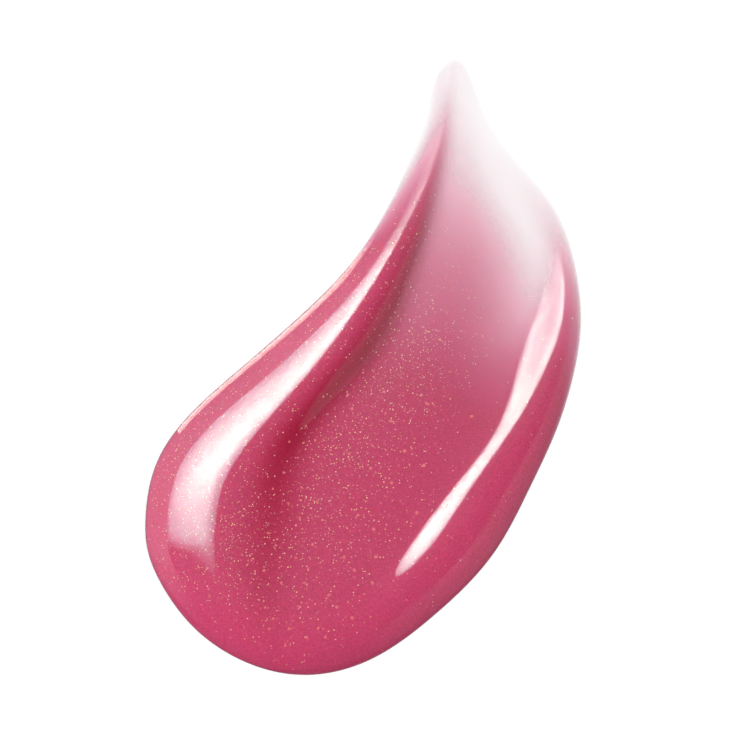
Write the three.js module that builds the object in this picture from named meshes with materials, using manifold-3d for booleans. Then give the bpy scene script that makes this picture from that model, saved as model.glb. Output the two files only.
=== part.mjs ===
// A smear of shimmer lip gloss: one body of clear pink gel, flat underneath, with a thick
// rolled bulb at one end and a thin feathered tail at the other, and the coarse gold and
// pearl flakes that lie in its skin. Millimetres, +Z up, the stroke's tip towards +Y.
import * as THREE from 'three';
import Module from 'manifold-3d';
import { mergeVertices } from 'three/addons/utils/BufferGeometryUtils.js';

// ---- driving dimensions -------------------------------------------------------------
const ROWS = 64; // steps of the gel's grid along the stroke
const COLUMNS = 30; // steps of the gel's grid across the stroke
const ROLL_POWER = 2.5; // fullness of the rounded edge
const END_CROWDING = 0.5; // how much the rows crowd towards the two ends
const EDGE_CROWDING = 0.6; // how much the columns crowd towards the two edges
const OUTLINE_STEPS = 540; // points on the outline that edge distances are taken to

const GOLD_FLAKES = 36;
const PEARL_FLAKES = 12;
const FLAKE_RADIUS = [0.06, 0.1]; // smallest and largest
const FLAKE_THICKNESS = 0.03;
const FLAKE_PROUD = 0.012; // how far a flake's face stands out of the gel
const SEAT_GAP = 0.02; // clearance round and under a flake

// The outline, from the lowest point of the bulb up the left side to the tip and back down
// the right side: x, y, and the width of the rounded edge there.
const OUTLINE = [
  [-2.75, -15.4, 3.2], [-5.9, -14.75, 3.2], [-8.65, -12.85, 3.6], [-10.45, -10.15, 4.0],
  [-10.9, -7.85, 4.3], [-10.4, -4.95, 4.4], [-8.65, -2.35, 4.4], [-6.0, 0.05, 4.1],
  [-3.15, 2.55, 3.2], [-0.7, 5.05, 2.2], [1.15, 7.85, 1.35], [2.5, 10.75, 0.9],
  [3.3, 13.15, 0.6], [3.75, 14.65, 0.5], [4.6, 15.35, 0.35], [5.35, 14.55, 0.35],
  [6.2, 12.35, 0.35], [7.7, 10.25, 0.35], [9.5, 8.05, 0.4], [10.5, 5.55, 0.6],
  [10.9, 2.95, 0.9], [10.7, 0.35, 1.2], [9.8, -2.85, 1.6], [8.35, -6.05, 2.2],
  [6.45, -9.45, 2.65], [3.65, -12.35, 3.15], [0.55, -14.55, 3.3],
];
const TIP = 14; // which of those points is the tip

// Cross-sections at equal steps from the bulb to the tip. ACROSS gives where the ridge's
// crest and shoulder, the valley's foot, the plateau, the rim's foot and the rim's crest lie,
// from the left edge (0) to the right edge (1). THICKNESS gives the gel there and at both
// edges.
const ACROSS = [
  [0.22, 0.33, 0.43, 0.57, 0.68, 0.8],
  [0.22, 0.33, 0.43, 0.57, 0.7, 0.82],
  [0.22, 0.34, 0.44, 0.6, 0.735, 0.825],
  [0.22, 0.32, 0.4, 0.6, 0.805, 0.885],
  [0.235, 0.345, 0.425, 0.6, 0.81, 0.92],
  [0.18, 0.285, 0.36, 0.56, 0.82, 0.935],
  [0.19, 0.28, 0.37, 0.53, 0.7, 0.88],
  [0.28, 0.38, 0.48, 0.58, 0.72, 0.88],
  [0.28, 0.38, 0.48, 0.58, 0.72, 0.88],
];
const THICKNESS = [
  [2.1, 2.15, 2.18, 2.2, 2.2, 2.2, 2.15, 2.1],
  [2.15, 2.25, 2.22, 2.2, 2.2, 2.15, 2.1, 2.0],
  [2.2, 2.35, 2.2, 2.03, 1.95, 1.85, 2.05, 1.95],
  [2.15, 2.35, 2.1, 1.75, 1.62, 1.35, 1.5, 1.4],
  [2.0, 2.2, 1.7, 1.05, 0.95, 0.5, 0.85, 0.8],
  [1.6, 1.65, 1.3, 0.68, 0.52, 0.12, 0.25, 0.22],
  [0.2, 0.7, 0.62, 0.3, 0.19, 0.08, 0.05, 0.04],
  [0.05, 0.12, 0.13, 0.1, 0.07, 0.05, 0.04, 0.04],
  [0.06, 0.06, 0.06, 0.06, 0.06, 0.06, 0.06, 0.06],
];

// ---- materials ----------------------------------------------------------------------
const gelMaterial = new THREE.MeshStandardMaterial({ color: 0xc84e78, roughness: 0.08, metalness: 0 });
const goldMaterial = new THREE.MeshStandardMaterial({ color: 0xf4c9a0, roughness: 0.3, metalness: 0.6 });
const pearlMaterial = new THREE.MeshStandardMaterial({ color: 0xf7dfe2, roughness: 0.3, metalness: 0.4 });

// ---- cubic splines through rows of numbers ------------------------------------------
const SETTLE = 40; // rounds after which the spline meets its points

// The control rows, with the neighbours that the spline needs before and after them.
function withEnds(rows, closed) {
  const last = rows.length - 1;
  if (closed) return [rows[last], ...rows, rows[0], rows[1]];
  const beyond = (a, b, n) => a.map((value, k) => value + n * (value - b[k]));
  return [
    beyond(rows[0], rows[1], 1), ...rows,
    beyond(rows[last], rows[last - 1], 1), beyond(rows[last], rows[last - 1], 2),
  ];
}

// Control rows of the uniform cubic B-spline that passes through the given rows.
function splineThrough(rows, closed) {
  let control = rows.map((row) => [...row]);
  for (let round = 0; round < SETTLE; round += 1) {
    const c = withEnds(control, closed);
    control = control.map((row, i) => row.map(
      (value, k) => value + rows[i][k] - (c[i][k] + 4 * c[i + 1][k] + c[i + 2][k]) / 6,
    ));
  }
  return { control: withEnds(control, closed), count: rows.length, closed };
}

function splineAt(spline, t) {
  const { control, count, closed } = spline;
  const span = closed ? Math.floor(t) % count : Math.min(Math.floor(t), count - 2);
  const f = closed ? t - Math.floor(t) : t - span;
  const weights = [(1 - f) ** 3, 3 * f ** 3 - 6 * f ** 2 + 4, -3 * f ** 3 + 3 * f ** 2 + 3 * f + 1, f ** 3];
  return control[span].map((_, k) => weights.reduce((sum, w, n) => sum + w * control[span + n][k], 0) / 6);
}

// ---- the gel's upper surface --------------------------------------------------------
const outline = splineThrough(OUTLINE, true);
const across = splineThrough(ACROSS.map((row) => [0, ...row, 1]), false);
const thickness = splineThrough(THICKNESS, false);
const edge = Array.from({ length: OUTLINE_STEPS }, (_, k) => (
  splineAt(outline, (k * OUTLINE.length) / OUTLINE_STEPS)
));

// Distance from a point to the outline, as a share of the rounded edge's width there.
function edgeShare(x, y) {
  let nearest = Infinity;
  let share = 1;
  edge.forEach(([ax, ay, widthA], k) => {
    const [bx, by, widthB] = edge[(k + 1) % OUTLINE_STEPS];
    const [dx, dy] = [bx - ax, by - ay];
    const along = Math.min(Math.max(((x - ax) * dx + (y - ay) * dy) / (dx * dx + dy * dy), 0), 1);
    const distance = Math.hypot(ax + along * dx - x, ay + along * dy - y);
    if (distance < nearest) {
      nearest = distance;
      share = distance / (widthA + along * (widthB - widthA));
    }
  });
  return Math.min(share, 1);
}

// Steps from 0 to 1 that crowd towards both ends.
function crowded(step, steps, amount) {
  const even = step / steps;
  return amount * (1 - Math.cos(Math.PI * even)) / 2 + (1 - amount) * even;
}

// The gel's surface s of the way from the bulb to the tip and v of the way across.
function gelPoint(s, v) {
  const left = splineAt(outline, TIP * s);
  const right = splineAt(outline, OUTLINE.length - (OUTLINE.length - TIP) * s);
  const station = s * (ACROSS.length - 1);
  const places = splineAt(across, station);
  const depths = splineAt(thickness, station);
  const section = splineThrough(places.map((place, k) => [place, depths[k]]), false);
  const [u, depth] = splineAt(section, v * (places.length - 1));
  const x = left[0] + (right[0] - left[0]) * u;
  const y = left[1] + (right[1] - left[1]) * u;
  const height = depth * Math.sqrt(1 - (1 - edgeShare(x, y)) ** ROLL_POWER);
  return new THREE.Vector3(x, y, height);
}

// The upper surface as rows of points. The first and last rows are the outline's two ends.
function gelGrid() {
  const grid = [];
  for (let i = 0; i <= ROWS; i += 1) {
    const s = crowded(i, ROWS, END_CROWDING);
    const row = [];
    for (let j = 0; j <= COLUMNS; j += 1) {
      const point = gelPoint(s, crowded(j, COLUMNS, EDGE_CROWDING));
      const onEdge = i === 0 || i === ROWS || j === 0 || j === COLUMNS;
      row.push(onEdge ? point.setZ(0) : point);
    }
    grid.push(row);
  }
  return grid;
}

function centreOnOrigin(grid) {
  const box = new THREE.Box3().setFromPoints(grid.flat());
  const centre = box.getCenter(new THREE.Vector3()).setZ(0);
  grid.flat().forEach((point) => point.sub(centre));
}

// One closed body: the upper surface, and the flat underside as a strip between the edges.
function gelBody(grid) {
  const corners = [];
  const triangle = (a, b, c) => {
    const area = new THREE.Triangle(a, b, c).getArea();
    if (area > 1e-9) corners.push(a, b, c);
  };
  for (let i = 0; i < ROWS; i += 1) {
    for (let j = 0; j < COLUMNS; j += 1) {
      triangle(grid[i][j], grid[i][j + 1], grid[i + 1][j + 1]);
      triangle(grid[i][j], grid[i + 1][j + 1], grid[i + 1][j]);
    }
    triangle(grid[i][0], grid[i + 1][COLUMNS], grid[i][COLUMNS]);
    triangle(grid[i][0], grid[i + 1][0], grid[i + 1][COLUMNS]);
  }
  return new THREE.BufferGeometry().setFromPoints(corners);
}

// ---- flakes and the seats they lie in -----------------------------------------------
// Flakes lie at points of the gel's grid, over the plateau and the lower part of the bulb.
const FLAKE_ROWS = [10, 30];
const FLAKE_COLUMNS = [9, 19];
const SPREAD = [0.7548776662, 0.5698402910]; // shares that scatter points evenly
const TILT = 0.12; // how far a flake leans from the surface, in radians

function flakeCell(index) {
  const within = ([low, high], share) => Math.round(low + (high - low) * ((index * share) % 1));
  return [within(FLAKE_ROWS, SPREAD[0]), within(FLAKE_COLUMNS, SPREAD[1])];
}

// The outline of a flake with five to seven uneven sides.
function flakeShape(index, margin) {
  const sides = 5 + (index % 3);
  const [small, large] = FLAKE_RADIUS;
  const radius = small + (large - small) * ((index * SPREAD[1]) % 1) + margin;
  const corners = Array.from({ length: sides }, (_, n) => {
    const angle = (2 * Math.PI * (n + 0.25 * Math.sin(index + 2 * n))) / sides;
    return new THREE.Vector2(radius * Math.cos(angle), radius * Math.sin(angle));
  });
  return new THREE.Shape(corners);
}

// Where a flake's underside lies: leaning a little from the gel's surface at its grid point.
function flakeMatrix(grid, index) {
  const [i, j] = flakeCell(index);
  const alongStroke = grid[i + 1][j].clone().sub(grid[i - 1][j]);
  const acrossStroke = grid[i][j + 1].clone().sub(grid[i][j - 1]);
  const normal = acrossStroke.cross(alongStroke).normalize();
  const upright = new THREE.Quaternion().setFromUnitVectors(new THREE.Vector3(0, 0, 1), normal);
  const lean = new THREE.Quaternion().setFromEuler(new THREE.Euler(TILT * Math.sin(index), 0, index));
  const place = grid[i][j].clone().addScaledVector(normal, FLAKE_PROUD - FLAKE_THICKNESS);
  return new THREE.Matrix4().compose(place, upright.multiply(lean), new THREE.Vector3(1, 1, 1));
}

function flakeMesh(grid, index, name, material) {
  const plate = { depth: FLAKE_THICKNESS, bevelEnabled: false };
  const mesh = new THREE.Mesh(new THREE.ExtrudeGeometry(flakeShape(index, 0), plate), material);
  mesh.name = name;
  mesh.applyMatrix4(flakeMatrix(grid, index));
  return mesh;
}

// The open seat that a flake lies in, with its clearance, as a solid to cut away.
function flakeSeat(grid, index) {
  const pocket = { depth: 2 * (FLAKE_THICKNESS + SEAT_GAP), bevelEnabled: false };
  const seat = new THREE.ExtrudeGeometry(flakeShape(index, SEAT_GAP), pocket);
  return seat.translate(0, 0, -SEAT_GAP).applyMatrix4(flakeMatrix(grid, index));
}

// ---- booleans -----------------------------------------------------------------------
const wasm = await Module();
wasm.setup();

function toSolid(geometry) {
  geometry.deleteAttribute('normal');
  geometry.deleteAttribute('uv');
  const merged = mergeVertices(geometry, 1e-5);
  return new wasm.Manifold(new wasm.Mesh({
    numProp: 3,
    vertProperties: new Float32Array(merged.attributes.position.array),
    triVerts: new Uint32Array(merged.index.array),
  }));
}

function toGeometry(solid) {
  const { vertProperties, triVerts } = solid.getMesh();
  const geometry = new THREE.BufferGeometry();
  geometry.setAttribute('position', new THREE.BufferAttribute(vertProperties, 3));
  geometry.setIndex(new THREE.BufferAttribute(triVerts, 1));
  geometry.computeVertexNormals();
  return geometry;
}

// ---- assembly -----------------------------------------------------------------------
const grid = gelGrid();
centreOnOrigin(grid);

const flakes = [];
for (let index = 0; index < GOLD_FLAKES + PEARL_FLAKES; index += 1) {
  const gold = index < GOLD_FLAKES;
  const number = String(gold ? index + 1 : index + 1 - GOLD_FLAKES).padStart(2, '0');
  const name = gold ? `gold_flake_${number}` : `pearl_flake_${number}`;
  flakes.push(flakeMesh(grid, index, name, gold ? goldMaterial : pearlMaterial));
}

const seated = flakes.reduce(
  (body, _, index) => body.subtract(toSolid(flakeSeat(grid, index))),
  toSolid(gelBody(grid)),
);
const gel = new THREE.Mesh(toGeometry(seated), gelMaterial);
gel.name = 'gloss_gel';

const smear = new THREE.Group();
smear.add(gel, ...flakes);
export default smear;
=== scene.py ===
"""A smear of pink shimmer lip gloss, seen from straight above on a white ground.

The CAD gel is replaced by a finer mesh of the same surface. The coarse flakes of the CAD
model are shown as they are, with a glinting material, among thousands of finer ones whose glints
are painted into their colour.
"""
import math

import bpy
import mathutils
import numpy as np
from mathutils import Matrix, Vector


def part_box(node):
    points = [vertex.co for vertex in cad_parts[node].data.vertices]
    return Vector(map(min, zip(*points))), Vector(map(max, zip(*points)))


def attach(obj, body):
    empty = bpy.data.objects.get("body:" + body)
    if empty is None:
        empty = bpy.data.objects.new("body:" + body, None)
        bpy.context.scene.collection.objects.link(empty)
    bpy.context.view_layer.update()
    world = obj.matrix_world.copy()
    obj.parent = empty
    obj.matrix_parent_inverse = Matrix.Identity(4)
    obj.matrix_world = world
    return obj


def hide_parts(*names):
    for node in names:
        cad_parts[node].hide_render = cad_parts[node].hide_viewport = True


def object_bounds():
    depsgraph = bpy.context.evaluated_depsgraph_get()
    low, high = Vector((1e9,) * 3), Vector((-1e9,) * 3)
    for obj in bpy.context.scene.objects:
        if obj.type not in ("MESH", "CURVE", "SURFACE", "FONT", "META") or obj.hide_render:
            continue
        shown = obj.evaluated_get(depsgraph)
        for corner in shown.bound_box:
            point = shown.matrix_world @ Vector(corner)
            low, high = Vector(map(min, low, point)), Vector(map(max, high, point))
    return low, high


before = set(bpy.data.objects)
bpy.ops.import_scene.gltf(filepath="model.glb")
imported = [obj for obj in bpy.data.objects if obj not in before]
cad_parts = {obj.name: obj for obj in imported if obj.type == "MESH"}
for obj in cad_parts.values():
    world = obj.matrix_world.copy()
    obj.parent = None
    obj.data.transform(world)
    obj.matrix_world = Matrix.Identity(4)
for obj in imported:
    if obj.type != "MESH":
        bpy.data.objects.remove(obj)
CAD_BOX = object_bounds()

MM = 0.001  # metres

# ---- the gel's shape, in millimetres ------------------------------------------------
GEL_ROWS = 300  # steps of the grid along the stroke
GEL_COLUMNS = 280  # steps of the grid across it
BASE_STRIDE = 5  # columns of the upper surface to one column of the underside
ROLL_POWER = 2.5  # fullness of the rounded edge
END_CROWDING = 0.5  # how much the rows crowd towards the two ends
EDGE_CROWDING = 0.6  # how much the columns crowd towards the two edges
OUTLINE_STEPS = 810  # points on the outline that edge distances are taken to
VALLEY_REACH = 0.75  # how far the valley's painted shade reaches, in steps from shoulder to foot
THICK = (0.8, 2.0)  # what counts as a thin and as a thick section, mm
THICK_COVER = 2.0  # how much denser the rounded edge of a thick section looks
GLOSS_END = (0.60, 0.75)  # where along the stroke its gloss fades
GLOSS_LOSS = 0.7  # how much of it is lost

# The outline, from the lowest point of the bulb up the left side to the tip and back down
# the right side: x, y, and the width of the rounded edge there.
OUTLINE = [
    (-2.75, -15.4, 3.2), (-5.9, -14.75, 3.2), (-8.65, -12.85, 3.6), (-10.45, -10.15, 4.0),
    (-10.9, -7.85, 4.3), (-10.4, -4.95, 4.4), (-8.65, -2.35, 4.4), (-6.0, 0.05, 4.1),
    (-3.15, 2.55, 3.2), (-0.7, 5.05, 2.2), (1.15, 7.85, 1.35), (2.5, 10.75, 0.9),
    (3.3, 13.15, 0.6), (3.75, 14.65, 0.5), (4.6, 15.35, 0.35), (5.35, 14.55, 0.35),
    (6.2, 12.35, 0.35), (7.7, 10.25, 0.35), (9.5, 8.05, 0.4), (10.5, 5.55, 0.6),
    (10.9, 2.95, 0.9), (10.7, 0.35, 1.2), (9.8, -2.85, 1.6), (8.35, -6.05, 2.2),
    (6.45, -9.45, 2.65), (3.65, -12.35, 3.15), (0.55, -14.55, 3.3),
]
TIP = 14  # which of those points is the tip

# Cross-sections at equal steps from the bulb to the tip. ACROSS gives where the ridge's
# crest, its shoulder, the valley, the plateau, the rim's foot and the rim's crest lie, from
# the left edge (0) to the right edge (1). THICKNESS gives the gel there and at both edges.
ACROSS = [
    (0.22, 0.33, 0.43, 0.57, 0.68, 0.80),
    (0.22, 0.33, 0.43, 0.57, 0.70, 0.82),
    (0.22, 0.34, 0.44, 0.60, 0.735, 0.825),
    (0.22, 0.32, 0.40, 0.60, 0.805, 0.885),
    (0.235, 0.345, 0.425, 0.60, 0.81, 0.92),
    (0.18, 0.285, 0.36, 0.56, 0.82, 0.935),
    (0.19, 0.28, 0.37, 0.53, 0.70, 0.88),
    (0.28, 0.38, 0.48, 0.58, 0.72, 0.88),
    (0.28, 0.38, 0.48, 0.58, 0.72, 0.88),
]
THICKNESS = [
    (2.1, 2.15, 2.18, 2.2, 2.2, 2.2, 2.15, 2.1),
    (2.15, 2.25, 2.22, 2.2, 2.2, 2.15, 2.1, 2.0),
    (2.2, 2.35, 2.2, 2.03, 1.95, 1.85, 2.05, 1.95),
    (2.15, 2.35, 2.1, 1.75, 1.62, 1.35, 1.5, 1.4),
    (2.0, 2.2, 1.7, 1.05, 0.95, 0.5, 0.85, 0.8),
    (1.6, 1.65, 1.3, 0.68, 0.52, 0.12, 0.25, 0.22),
    (0.2, 0.70, 0.62, 0.30, 0.19, 0.08, 0.05, 0.04),
    (0.05, 0.12, 0.13, 0.10, 0.07, 0.05, 0.04, 0.04),
    (0.06, 0.06, 0.06, 0.06, 0.06, 0.06, 0.06, 0.06),
]
VALLEY_SHADE = (0.0, 0.1, 0.55, 1.0, 0.95, 0.55, 0.2, 0.0, 0.0)  # how strong the painted shade in the valley is there

# How thickly the fine flakes lie at the same cross-sections, a quarter of the way across at
# a time: flakes to a square millimetre.
# The flakes carry painted glints, so this table says where glints show as well as where flakes
# lie.
FLAKE_DRIFTS = [
    (0, 0, 0, 0, 0),
    (0, 8, 10, 2, 0),
    (14, 58, 28, 10, 1),
    (22, 22, 44, 3, 0),
    (16, 22, 42, 3, 0),
    (14, 26, 24, 1, 0),
    (1, 4, 1, 0, 0),
    (0, 0, 0, 0, 0),
    (0, 0, 0, 0, 0),
]
FLAKE_SHADE_LOSS = 0.85  # how many of them the valley's painted shade lacks


# ---- cubic splines through rows of numbers ------------------------------------------
SETTLE = 40  # rounds after which the spline meets its points


def with_ends(rows, closed):
    """The control rows, with the neighbours that the spline needs before and after them."""
    if closed:
        return np.concatenate([rows[-1:], rows, rows[:2]])
    first, last = rows[0] - rows[1], rows[-1] - rows[-2]
    return np.concatenate([[rows[0] + first], rows, [rows[-1] + last], [rows[-1] + 2 * last]])


def spline_through(rows, closed):
    """Control rows of the uniform cubic B-spline that passes through the given rows."""
    rows = np.asarray(rows, float)
    control = rows.copy()
    for _ in range(SETTLE):
        c = with_ends(control, closed)
        control = control + rows - (c[:-3] + 4 * c[1:-2] + c[2:-1]) / 6
    return with_ends(control, closed)


def spline_at(control, t, closed):
    """The spline's rows at each value of t, which counts the given rows from 0."""
    count = len(control) - 3
    t = np.asarray(t, float)
    span = np.floor(t).astype(int)
    span = span % count if closed else np.minimum(span, count - 2)
    f = t - np.floor(t) if closed else t - span
    weights = [(1 - f) ** 3, 3 * f**3 - 6 * f**2 + 4, -3 * f**3 + 3 * f**2 + 3 * f + 1, f**3]
    extra = (1,) * (control.ndim - 1)
    return sum(w.reshape(w.shape + extra) * control[span + n] for n, w in enumerate(weights)) / 6


# ---- the gel's upper surface --------------------------------------------------------
def crowded(steps, amount):
    """Steps from 0 to 1 that crowd towards both ends."""
    even = np.linspace(0, 1, steps + 1)
    return amount * (1 - np.cos(math.pi * even)) / 2 + (1 - amount) * even


def stepped(value, start, end):
    """A smooth step from 0 at start to 1 at end."""
    t = np.clip((value - start) / (end - start), 0, 1)
    return t * t * (3 - 2 * t)


def edge_share(points):
    """Distance from each point to the outline, as a share of the rounded edge's width."""
    steps = np.arange(OUTLINE_STEPS) * len(OUTLINE) / OUTLINE_STEPS
    start = spline_at(spline_through(OUTLINE, True), steps, True)
    along = np.roll(start, -1, 0) - start
    length = (along[:, :2] ** 2).sum(1)
    share = np.empty(len(points))
    for k, (x, y) in enumerate(points):
        away = np.array((x, y)) - start[:, :2]
        t = np.clip((away * along[:, :2]).sum(1) / length, 0, 1)
        distance = ((away - along[:, :2] * t[:, None]) ** 2).sum(1)
        near = distance.argmin()
        share[k] = math.sqrt(distance[near]) / (start[near, 2] + along[near, 2] * t[near])
    return np.minimum(share, 1)


def gel_sections(s, v):
    """Places across and thicknesses: at each row's control points, and all over the grid."""
    places = np.pad(np.array(ACROSS), ((0, 0), (1, 1)), constant_values=((0, 0), (0, 1)))
    sections = np.stack([places, np.array(THICKNESS)], 2)
    sections = spline_at(spline_through(sections, False), s * (len(ACROSS) - 1), False)
    across = spline_through(sections.transpose(1, 0, 2), False)
    across = spline_at(across, v * (sections.shape[1] - 1), False).transpose(1, 0, 2)
    return sections, across


def gel_looks(s, sections, across, height, share):
    """How much gel covers the ground, how much of the valley's painted shade it has, and its
    gloss.
    """
    thick = stepped(across[:, :, 1], *THICK) * (1 - share)
    cover = height * (1 + THICK_COVER * thick)
    shoulder, foot = sections[:, 2, 0, None], sections[:, 3, 0, None]
    off = (across[:, :, 0] - shoulder) / (foot - shoulder)
    # The valley's painted shade: a darker colour along the valley, strongest at its middle.
    shade_along = np.interp(s * (len(VALLEY_SHADE) - 1), np.arange(len(VALLEY_SHADE)), VALLEY_SHADE)
    valley_shade = shade_along[:, None] * np.exp(-((off / VALLEY_REACH) ** 2))
    gloss = 1 - GLOSS_LOSS * stepped(s[:, None], *GLOSS_END)
    gloss = np.broadcast_to(gloss, height.shape)
    return {"gel_cover": cover, "gel_valley_shade": valley_shade, "gel_gloss": gloss}


def gel_grid():
    """The upper surface in metres, in rows along the stroke and columns across it.

    With it come the place of each point along and across the stroke, and its looks.
    """
    s = crowded(GEL_ROWS, END_CROWDING)
    v = crowded(GEL_COLUMNS, EDGE_CROWDING)
    outline = spline_through(OUTLINE, True)
    left = spline_at(outline, TIP * s, True)[:, None, :2]
    right = spline_at(outline, len(OUTLINE) - (len(OUTLINE) - TIP) * s, True)[:, None, :2]
    sections, across = gel_sections(s, v)
    flat = left + (right - left) * across[:, :, :1]
    share = edge_share(flat.reshape(-1, 2)).reshape(flat.shape[:2])
    height = across[:, :, 1] * np.sqrt(1 - (1 - share) ** ROLL_POWER)
    height[[0, -1]] = 0
    height[:, [0, -1]] = 0
    place = np.dstack([np.broadcast_to(s[:, None], height.shape), across[:, :, 0]])
    grid = np.dstack([flat, height]) * MM
    low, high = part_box("gloss_gel")
    middle = (grid.min((0, 1)) + grid.max((0, 1))) / 2
    grid[:, :, 0] += (low.x + high.x) / 2 - middle[0]
    grid[:, :, 1] += (low.y + high.y) / 2 - middle[1]
    return grid, place, gel_looks(s, sections, across, height, share)


def grid_normals(grid):
    """The surface's unit normal at each grid point."""
    along = np.gradient(grid, axis=0)
    across = np.gradient(grid, axis=1)
    normal = np.cross(across, along)
    size = np.linalg.norm(normal, axis=2, keepdims=True)
    return np.where(size > 0, normal / np.maximum(size, 1e-30), (0, 0, 1))


def quads(index):
    """The faces between neighbouring rows and columns of a grid of vertex numbers."""
    corners = (index[:-1, :-1], index[:-1, 1:], index[1:, 1:], index[1:, :-1])
    return np.stack(corners, 2).reshape(-1, 4)


def add_mesh(name, points, faces, **attributes):
    """An object of those vertices and faces, smooth shaded, with named vertex values."""
    mesh = bpy.data.meshes.new(name)
    mesh.from_pydata(points.tolist(), [], faces)
    for label, values in attributes.items():
        kind = "FLOAT" if values.ndim == 1 else "FLOAT_VECTOR"
        field = "value" if values.ndim == 1 else "vector"
        layer = mesh.attributes.new(label, kind, "POINT")
        layer.data.foreach_set(field, values.astype(np.float32).ravel())
    mesh.shade_smooth()
    piece = bpy.data.objects.new(name, mesh)
    bpy.context.scene.collection.objects.link(piece)
    return piece


def make_gel(grid, looks):
    """The closed gel body: the upper surface and a flat underside that shares its edge."""
    rows, columns = grid.shape[:2]
    top = np.arange(rows * columns).reshape(rows, columns)
    top[0], top[-1] = top[0, 0], top[-1, 0]
    under_columns = np.arange(BASE_STRIDE, columns - 1, BASE_STRIDE)
    inner = grid[1:-1][:, under_columns] * (1, 1, 0)
    base = np.zeros((rows, len(under_columns) + 2), int)
    base[:, 0], base[:, -1] = top[:, 0], top[:, -1]
    base[1:-1, 1:-1] = rows * columns + np.arange(inner[..., 0].size).reshape(inner.shape[:2])
    base[0], base[-1] = top[0, 0], top[-1, 0]
    points = np.concatenate([grid.reshape(-1, 3), inner.reshape(-1, 3)])
    faces = np.concatenate([quads(top), quads(base)[:, ::-1]])
    used, faces = np.unique(faces, return_inverse=True)
    faces = [tuple(dict.fromkeys(face)) for face in faces.reshape(-1, 4).tolist()]
    faces = [face for face in faces if len(face) > 2]
    values = {}
    for label, value in looks.items():
        under = value[1:-1][:, under_columns]
        values[label] = np.concatenate([value.ravel(), under.ravel()])[used]
    return add_mesh("gloss_gel_skin", points[used], faces, **values)


# ---- flakes -------------------------------------------------------------------------
FLAKE_SIDES = 5
FLAKE_PROUD = 0.003  # how far a fine flake's face stands out of the gel, mm
FLAKE_BODY = 0.012  # its thickness, mm
FLAKE_LEAN = 0.03  # how far it leans from the skin, in radians
FLAKE_TWIST = 0.2  # how far a corner strays, as a share of the step from corner to corner
FLAKE_DEPTHS = (0.4, 0.9)  # no flakes in gel thinner than the first, all from the second, mm
FLAKE_MARGIN = 3  # grid cells along the gel's border that hold no flake
FLAKE_GLINT_PAINT = 0.27  # how bright a usual flake's painted glint is
FLAKE_CONTRAST = 0.4  # how much brighter still the brightest painted glints are


def flake_places(grid, place, valley_shade, share, rng):
    """Grid cells that get a fine flake, drawn at random as thickly as FLAKE_DRIFTS says."""
    rows, columns = grid.shape[:2]
    drifts = np.array(FLAKE_DRIFTS, float)
    corner = grid[:-1, :-1]
    cell = np.cross(grid[1:, :-1] - corner, grid[:-1, 1:] - corner)
    cell = np.linalg.norm(cell, axis=2) / MM**2
    along = place[:-1, :-1, 0] * (len(drifts) - 1)
    sides = place[:-1, :-1, 1] * (drifts.shape[1] - 1)
    i = np.clip(along.astype(int), 0, len(drifts) - 2)
    j = np.clip(sides.astype(int), 0, drifts.shape[1] - 2)
    up, over = along - i, sides - j
    near = drifts[i, j] * (1 - over) + drifts[i, j + 1] * over
    far = drifts[i + 1, j] * (1 - over) + drifts[i + 1, j + 1] * over
    deep = np.clip((corner[..., 2] / MM - FLAKE_DEPTHS[0]) / np.ptp(FLAKE_DEPTHS), 0, 1)
    # Fewer flakes, and so fewer painted glints, in the valley's painted shade.
    bare = 1 - FLAKE_SHADE_LOSS * valley_shade[:-1, :-1]
    wanted = (near * (1 - up) + far * up) * cell * share * deep * bare
    drawn = rng.random(wanted.shape) < wanted
    drawn[:FLAKE_MARGIN] = drawn[-FLAKE_MARGIN:] = False
    drawn[:, :FLAKE_MARGIN] = drawn[:, -FLAKE_MARGIN:] = False
    return np.argwhere(drawn)


def plate_axes(normal, rng):
    """Three unit axes of a plate that leans a little from the normal, its own normal first."""
    lean = rng.normal(0, FLAKE_LEAN, 3)
    axis = normal + lean - normal * lean.dot(normal)
    axis /= np.linalg.norm(axis)
    side = np.cross(axis, rng.normal(0, 1, 3))
    side /= np.linalg.norm(side)
    return axis, side, np.cross(axis, side)


def plate_faces(first):
    """The faces of a plate whose vertices start at that number, the upper ones first."""
    upper = [first + corner for corner in range(FLAKE_SIDES)]
    lower = [corner + FLAKE_SIDES for corner in upper]
    faces = [tuple(upper), tuple(lower[::-1])]
    for a in range(FLAKE_SIDES):
        b = (a + 1) % FLAKE_SIDES
        faces.append((upper[a], lower[a], lower[b], upper[b]))
    return faces


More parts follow.
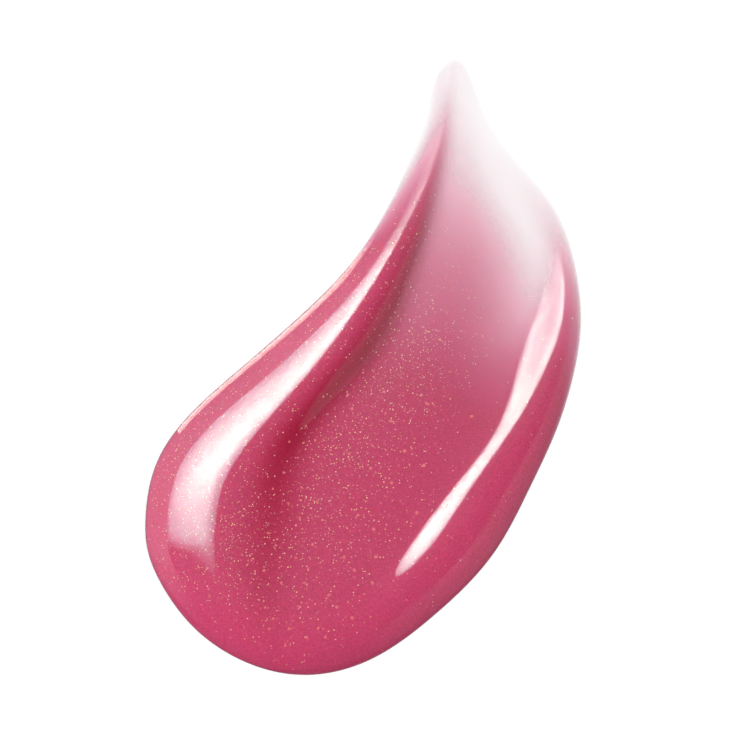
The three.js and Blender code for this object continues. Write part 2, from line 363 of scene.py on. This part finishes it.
def make_flakes(name, grid, normals, place, valley_shade, share, radii, seed):
    """Flat plates lying in the gel's skin, each with a painted glint: most of them dim and a few
    of them bright.
    """
    rng = np.random.default_rng(seed)
    points, skin, bright, faces = [], [], [], []
    for i, j in flake_places(grid, place, valley_shade, share, rng):
        normal = normals[i, j]
        axis, side, other = plate_axes(normal, rng)
        radius = rng.uniform(*radii) * MM
        stray = rng.uniform(-FLAKE_TWIST, FLAKE_TWIST, FLAKE_SIDES)
        angle = 2 * math.pi * (np.arange(FLAKE_SIDES) + stray) / FLAKE_SIDES
        edge = radius * (np.cos(angle)[:, None] * side + np.sin(angle)[:, None] * other)
        spot = rng.random(2)[:, None]
        step = (grid[i + 1, j] - grid[i, j], grid[i, j + 1] - grid[i, j])
        centre = grid[i, j] + (spot * step).sum(0) + normal * FLAKE_PROUD * MM
        # A painted glint: a random level, most flakes dim and a few bright, that stands in for
        # how squarely each faces the light.
        facing = rng.exponential()
        glow = min(1, FLAKE_GLINT_PAINT * facing * (1 + FLAKE_CONTRAST * facing))
        faces += plate_faces(len(points) * 2 * FLAKE_SIDES)
        points.append(np.concatenate([centre + edge, centre + edge - axis * FLAKE_BODY * MM]))
        skin.append(np.tile(normal, (2 * FLAKE_SIDES, 1)))
        bright.append(np.full(2 * FLAKE_SIDES, glow))
    piece = add_mesh(
        name, np.concatenate(points), faces,
        skin_normal=np.concatenate(skin), brightness=np.concatenate(bright),
    )
    piece.data.shade_flat()
    return piece


# ---- materials ----------------------------------------------------------------------
def new_material(name):
    """A material with only a Principled shader, and its node tree."""
    material = bpy.data.materials.new(name)
    material.use_nodes = True
    tree = material.node_tree
    return material, tree, tree.nodes["Principled BSDF"]


def set_inputs(node, **values):
    """Sets the named sockets, whose spaces are written as underscores."""
    for label, value in values.items():
        node.inputs[label.replace("_", " ")].default_value = value


def math_node(tree, operation, first, second=0.0):
    """The result of a calculation with one or two sockets or numbers."""
    node = tree.nodes.new("ShaderNodeMath")
    node.operation = operation
    for socket, value in zip(node.inputs, (first, second)):
        if isinstance(value, (int, float)):
            socket.default_value = value
        else:
            tree.links.new(value, socket)
    return node.outputs[0]


def between(tree, value, low, high):
    """A value from 0 to 1 stretched to run from low to high."""
    node = math_node(tree, "MULTIPLY_ADD", value, high - low).node
    node.inputs[2].default_value = low
    return node.outputs[0]


def smooth_step(tree, value, start, end):
    """A smooth step from 0 where the value is at start to 1 where it is at end."""
    node = tree.nodes.new("ShaderNodeMapRange")
    node.interpolation_type = "SMOOTHSTEP"
    tree.links.new(value, node.inputs["Value"])
    node.inputs["From Min"].default_value = start
    node.inputs["From Max"].default_value = end
    return node.outputs["Result"]


def product(tree, *values):
    """The product of several sockets or numbers."""
    result = values[0]
    for value in values[1:]:
        result = math_node(tree, "MULTIPLY", result, value)
    return result


def ramp(tree, factor, stops):
    """A colour ramp through the given (position, colour) stops."""
    node = tree.nodes.new("ShaderNodeValToRGB")
    elements = node.color_ramp.elements
    while len(elements) < len(stops):
        elements.new(0.5)
    for element, (position, colour) in zip(elements, stops):
        element.position = position
        element.color = (*colour, 1)
    tree.links.new(factor, node.inputs["Fac"])
    return node.outputs["Color"]


def mixed(tree, blend, factor, first, second):
    """A mix of two colours, each a socket or a plain colour."""
    node = tree.nodes.new("ShaderNodeMix")
    node.data_type = "RGBA"
    node.blend_type = blend
    sockets = [node.inputs[number] for number in (0, 6, 7)]  # the factor and the two colours
    for socket, value in zip(sockets, (factor, first, second)):
        if isinstance(value, bpy.types.NodeSocket):
            tree.links.new(value, socket)
        else:
            socket.default_value = value
    return node.outputs[2]  # the mixed colour


def attribute(tree, name):
    """The node that reads a named value of the mesh."""
    node = tree.nodes.new("ShaderNodeAttribute")
    node.attribute_name = name
    return node


def grain(tree, cell):
    """Two random values from 0 to 1 that change from cell to cell of that size, in metres."""
    place = tree.nodes.new("ShaderNodeTexCoord")
    cells = tree.nodes.new("ShaderNodeTexVoronoi")
    cells.inputs["Scale"].default_value = 1 / cell
    tree.links.new(place.outputs["Object"], cells.inputs["Vector"])
    parts = tree.nodes.new("ShaderNodeSeparateColor")
    tree.links.new(cells.outputs["Color"], parts.inputs[0])
    return parts.outputs[0], parts.outputs[1]


FULL_COVER = 1.2  # the gel's full colour is reached at this cover, mm
CLEARING = 1.5  # how fast each of the gel's two faces turns opaque with its cover, per mm
GEL_FILM = (0.33, 0.12, 0.21)  # the colour of the thinnest gel
GEL_THIN = (0.53, 0.072, 0.205)  # of thin gel
GEL_COLOUR = (0.418, 0.044, 0.112)  # of thick gel
GEL_IN_SHADE = (0.29, 0.010, 0.040)  # and of the painted shade in the valley
THIN_STOP = 0.25  # the share of the full cover at which the gel counts as thin
GRAIN_SIZE = 0.055 * MM
GRAIN_TONE = 0.3  # how much the colour varies from grain to grain
GRAIN_COVER = (0.5, 1.5)  # the cover over which that comes in, mm
GRAIN_GLOSS = (0.3, 1.0)  # the least and the most glossy grain
GLOSS_COVER = (0.1, 0.5)  # the cover over which the gloss comes in, mm
MATT, FAINT = 0.5, 0.05  # the roughness and the shine of what lies under the wet coat
GEL_IOR = 1.5  # how strongly the gel bends light
SCATTER_DEPTH = 0.4 * MM  # how far light spreads inside the gel
SCATTER_COLOUR = (1.0, 0.35, 0.45)  # and how red, green and blue share in that


def gel_material():
    """Wet gel: its cover makes it dense and coloured, and the valley is darker with painted
    shade.
    """
    material, tree, shader = new_material("gloss_gel")
    links = tree.links
    cover = attribute(tree, "gel_cover").outputs["Fac"]
    stops = [(0, GEL_FILM), (THIN_STOP, GEL_THIN), (1, GEL_COLOUR)]
    colour = ramp(tree, math_node(tree, "DIVIDE", cover, FULL_COVER), stops)
    # Painted shade: the valley's colour is mixed towards a darker red.
    valley_shade = attribute(tree, "gel_valley_shade").outputs["Fac"]
    colour = mixed(tree, "MIX", valley_shade, colour, (*GEL_IN_SHADE, 1))
    tone, gloss = grain(tree, GRAIN_SIZE)
    spread = product(tree, smooth_step(tree, cover, *GRAIN_COVER), GRAIN_TONE)
    tone = math_node(tree, "MULTIPLY", math_node(tree, "SUBTRACT", tone, 0.5), spread)
    tone = math_node(tree, "ADD", tone, 1.0)
    colour = mixed(tree, "MULTIPLY", 1.0, colour, tone)
    links.new(colour, shader.inputs["Base Color"])
    fade = math_node(tree, "EXPONENT", math_node(tree, "MULTIPLY", cover, -CLEARING))
    links.new(math_node(tree, "SUBTRACT", 1.0, fade), shader.inputs["Alpha"])
    shine = product(
        tree, smooth_step(tree, cover, *GLOSS_COVER),
        between(tree, gloss, *GRAIN_GLOSS), attribute(tree, "gel_gloss").outputs["Fac"],
    )
    links.new(shine, shader.inputs["Coat Weight"])
    set_inputs(
        shader, Roughness=MATT, Specular_IOR_Level=FAINT,
        Subsurface_Weight=1.0, Subsurface_Scale=SCATTER_DEPTH,
        Subsurface_Radius=SCATTER_COLOUR,
        Coat_Roughness=0.02, Coat_IOR=GEL_IOR,
    )
    return material


def flake_material(name, glint, skin):
    """A flake under the gel's glossy skin, pink like the gel where its painted glint is dim.

    With skin, its gloss follows the gel's skin and its base colour is a painted glint, mixed
    from the gel's pink towards the glint colour by the level that make_flakes gave each flake.
    Without skin, the glint colour is its whole base colour.
    """
    material, tree, shader = new_material(name)
    set_inputs(
        shader, Roughness=MATT, Specular_IOR_Level=FAINT,
        Coat_Weight=0.75, Coat_Roughness=0.03, Coat_IOR=GEL_IOR,
    )
    if skin:
        facing = attribute(tree, "skin_normal").outputs["Vector"]
        tree.links.new(facing, shader.inputs["Coat Normal"])
        # Painted glint: the flake's colour goes from the gel's pink to the glint colour by its
        # painted level.
        bright = attribute(tree, "brightness").outputs["Fac"]
        colour = mixed(tree, "MIX", bright, (*GEL_COLOUR, 1), (*glint, 1))
        tree.links.new(colour, shader.inputs["Base Color"])
    else:
        set_inputs(shader, Base_Color=(*glint, 1))
    return material


# ---- stage, light and camera --------------------------------------------------------
FLOOR_SIZE = 3.0  # metres
FLOOR_GAP = 0.01 * MM  # the floor lies this far below the gel's underside
FLOOR_GLOW = 0.975  # the ground glows evenly
FLOOR_WHITE = 0.02  # and takes hardly any light or shade

BOX_HEIGHT = 1.0  # height of the softbox, metres; its other measures are shares of that
BOX_CORNER = (-0.15, -0.08)  # where its straight near side starts, from the point above the gel
BOX_TURN = math.radians(7)  # about the vertical
BOX_BORDER = [(0, 0), (0.21, -0.14), (3.0, -0.14), (3.0, 3.2), (0, 3.2)]  # away, and along
BOX_NEAR = (-0.05, 0.2)  # how far away from its near side its glow comes in
BOX_NEAR_GLOW = 0.12  # the share of the glow that is there from the start
BOX_FAR = (3.0, 1.2)  # how far away the glow has gone, and where it starts to go
BOX_START = (-0.18, 0.45)  # how far along the glow comes in
BOX_AWAY_FADE, BOX_ALONG_FADE = 0.95, 0.35  # how fast it fades away and along
BOX_GAIN = 1.35  # lifts the level of its glow, from which its colour and strength follow
BOX_POWER = 39.0  # its strength where that level is 1
BOX_DIM = (0.64, 1.0, 1.03)  # its colour where it glows dimly
BOX_BRIGHT = (0.85, 1.05, 0.93)  # and where it glows brightly
BOX_LEVELS = (0.3, 0.8)  # what counts as dim and as bright

AMBIENT = (0.54, 0.58, 0.49)  # even light from all round, a little yellow
LAMPS = (  # lights that shade the gel: place and size in metres, power in watts, colour
    ("key", (-0.78, 0.26, 1.0), 0.6, 11.7, (1.0, 1.0, 1.07)),
    ("front", (-0.4, -0.9, 0.9), 0.6, 0.8, (1.0, 1.0, 0.95)),
    ("top", (-0.1, -0.1, 1.5), 0.6, 13.0, (1.0, 1.02, 1.07)),
)
WALL_ENDS = 0.3  # the share of a wall's half width over which it glows in full
# Glowing walls that only the gloss shows: place, width, lowest and highest point, metres,
# then the glow at the bottom and at the top, and the colour.
WALLS = (
    ("wall", (-1.8, 0.6), 7.0, -3.0, 1.0, 0.4, 2.4, (1.0, 1.0, 1.0)),
    ("warm_wall", (-1.4, 1.4), 1.7, -3.0, -0.8, 9.0, 9.0, (1.0, 0.88, 0.76)),
    ("room", (1.5, -0.2), 5.0, -3.0, 1.3, 0.0, 1.1, (1.0, 1.0, 0.95)),
)

VIEW_WIDTH = 36.45 * MM  # how much of the ground the picture spans
VIEW_CENTRE = (0.07 * MM, 0.15 * MM)  # the picture's middle, from the middle of the gel
CAMERA_DISTANCE = 0.5  # metres
CAMERA_CLIP = (0.001, 20.0)  # the nearest and the farthest that it shows, metres
SENSOR = 36.0  # its sensor's width, in the camera's own millimetres


def make_floor():
    """The plain white ground."""
    bpy.ops.mesh.primitive_plane_add(size=FLOOR_SIZE, location=(0, 0, CAD_BOX[0][2] - FLOOR_GAP))
    floor = bpy.context.object
    floor.name = "floor"
    material, tree, shader = new_material("white_ground")
    set_inputs(
        shader, Base_Color=(FLOOR_WHITE,) * 3 + (1,), Roughness=1.0, Specular_IOR_Level=0.0,
        Emission_Color=(1, 1, 1, 1), Emission_Strength=FLOOR_GLOW,
    )
    floor.data.materials.append(material)
    floor.visible_glossy = False


def glossy_only(piece, material):
    """Makes a light panel that is seen only as a reflection."""
    piece.visible_camera = False
    piece.visible_diffuse = False
    piece.visible_shadow = False
    piece.data.materials.append(material)


def glowing_material(name):
    """A material that only glows, its tree, its emission node and its local X, Y and Z."""
    material = bpy.data.materials.new(name)
    material.use_nodes = True
    tree = material.node_tree
    tree.nodes.clear()
    emission = tree.nodes.new("ShaderNodeEmission")
    output = tree.nodes.new("ShaderNodeOutputMaterial")
    tree.links.new(emission.outputs[0], output.inputs["Surface"])
    place = tree.nodes.new("ShaderNodeTexCoord")
    parts = tree.nodes.new("ShaderNodeSeparateXYZ")
    tree.links.new(place.outputs["Object"], parts.inputs[0])
    return material, tree, emission, parts.outputs


def make_softbox():
    """A big soft light up to the left: brightest near its near side, fading far away."""
    points = np.array([(-away, along, 0) for away, along in BOX_BORDER])
    box = add_mesh("softbox", points * BOX_HEIGHT, [tuple(range(len(points)))])
    box.location = (BOX_CORNER[0] * BOX_HEIGHT, BOX_CORNER[1] * BOX_HEIGHT, BOX_HEIGHT)
    box.rotation_euler = (0, 0, BOX_TURN)
    material, tree, emission, local = glowing_material("softbox")
    away = math_node(tree, "MULTIPLY", local["X"], -1 / BOX_HEIGHT)
    along = math_node(tree, "DIVIDE", local["Y"], BOX_HEIGHT)
    near = between(tree, smooth_step(tree, away, *BOX_NEAR), BOX_NEAR_GLOW, 1.0)
    start = smooth_step(tree, along, *BOX_START)
    far = math_node(tree, "EXPONENT", math_node(tree, "MULTIPLY", away, -BOX_AWAY_FADE))
    end = math_node(tree, "EXPONENT", math_node(tree, "MULTIPLY", along, -BOX_ALONG_FADE))
    level = product(
        tree, near, start, far, end, smooth_step(tree, away, *BOX_FAR), BOX_GAIN,
    )
    colour = ramp(tree, level, list(zip(BOX_LEVELS, (BOX_DIM, BOX_BRIGHT))))
    tree.links.new(colour, emission.inputs["Color"])
    tree.links.new(product(tree, level, BOX_POWER), emission.inputs["Strength"])
    glossy_only(box, material)


def make_wall(name, place, width, low, high, low_glow, high_glow, colour):
    """A glowing wall that faces the gel, and fades towards its two ends."""
    half = width / 2
    corners = ((-half, low), (half, low), (half, high), (-half, high))
    wall = add_mesh(name, np.array([(x, 0, z) for x, z in corners]), [(0, 1, 2, 3)])
    wall.location = (*place, 0)
    wall.rotation_euler = (0, 0, math.atan2(-place[0], place[1]))
    material, tree, emission, local = glowing_material(name)
    glow = between(tree, smooth_step(tree, local["Z"], low, high), low_glow, high_glow)
    aside = math_node(tree, "ABSOLUTE", local["X"])
    ends = smooth_step(tree, aside, half, WALL_ENDS * half)
    tree.links.new(product(tree, glow, ends), emission.inputs["Strength"])
    emission.inputs["Color"].default_value = (*colour, 1)
    glossy_only(wall, material)


def add_area_light(name, place, size, power, colour):
    """A square light that shades surfaces without showing as a reflection in the gloss."""
    data = bpy.data.lights.new(name, "AREA")
    data.size = size
    data.energy = power
    data.color = colour
    lamp = bpy.data.objects.new(name, data)
    lamp.location = place
    aim = mathutils.Vector(place).to_track_quat("Z", "Y")
    lamp.rotation_euler = aim.to_euler()
    lamp.visible_camera = False
    lamp.visible_glossy = False
    bpy.context.scene.collection.objects.link(lamp)


def make_world():
    """Even light from all round, that the gloss does not reflect."""
    world = bpy.data.worlds.new("studio")
    bpy.context.scene.world = world
    world.use_nodes = True
    background = world.node_tree.nodes["Background"]
    background.inputs["Color"].default_value = (*AMBIENT, 1)
    world.cycles_visibility.glossy = False


def make_camera():
    """The camera, looking straight down."""
    low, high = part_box("gloss_gel")
    data = bpy.data.cameras.new("camera")
    camera = bpy.data.objects.new("camera", data)
    bpy.context.scene.collection.objects.link(camera)
    bpy.context.scene.camera = camera
    data.sensor_width = SENSOR
    data.lens = SENSOR * CAMERA_DISTANCE / VIEW_WIDTH
    data.clip_start, data.clip_end = CAMERA_CLIP
    camera.location = (
        (low.x + high.x) / 2 + VIEW_CENTRE[0],
        (low.y + high.y) / 2 + VIEW_CENTRE[1],
        CAMERA_DISTANCE,
    )


# ---- the scene ----------------------------------------------------------------------
GOLD, PEARL = (0.66, 0.46, 0.25), (0.66, 0.48, 0.40)
# The fine flakes: name, slot, colour of their painted glint, share of all the fine flakes,
# smallest and largest radius in millimetres, and the seed of their random places.
FINE_FLAKES = (
    ("fine_gold_flakes", "gold_flake", GOLD, 0.75, (0.016, 0.036), 11),
    ("fine_pearl_flakes", "pearl_flake", PEARL, 0.25, (0.016, 0.034), 12),
)
# The CAD model's flakes: the start of their names, which is also their slot, and their colour.
COARSE_FLAKES = {"gold_flake": (0.54, 0.11, 0.13), "pearl_flake": (0.54, 0.12, 0.16)}


def finish_piece(piece, material):
    """Gives a piece its one material."""
    piece.data.materials.clear()
    piece.data.materials.append(material)


make_camera()
make_floor()
make_softbox()
for wall in WALLS:
    make_wall(*wall)
for lamp in LAMPS:
    add_area_light(*lamp)
make_world()
bpy.context.scene.view_settings.view_transform = "Standard"

grid, place, looks = gel_grid()
normals = grid_normals(grid)

gel = make_gel(grid, looks)
finish_piece(gel, gel_material())
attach(gel, "root")
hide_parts("gloss_gel")

for name, kind, glint, share, radii, seed in FINE_FLAKES:
    flakes = make_flakes(name, grid, normals, place, looks["gel_valley_shade"], share, radii, seed)
    finish_piece(flakes, flake_material("fine_" + kind, glint, True))
    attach(flakes, "root")

coarse = {kind: flake_material(kind, glint, False) for kind, glint in COARSE_FLAKES.items()}
for name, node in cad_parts.items():
    for kind, material in coarse.items():
        if name.startswith(kind):
            finish_piece(node, material)
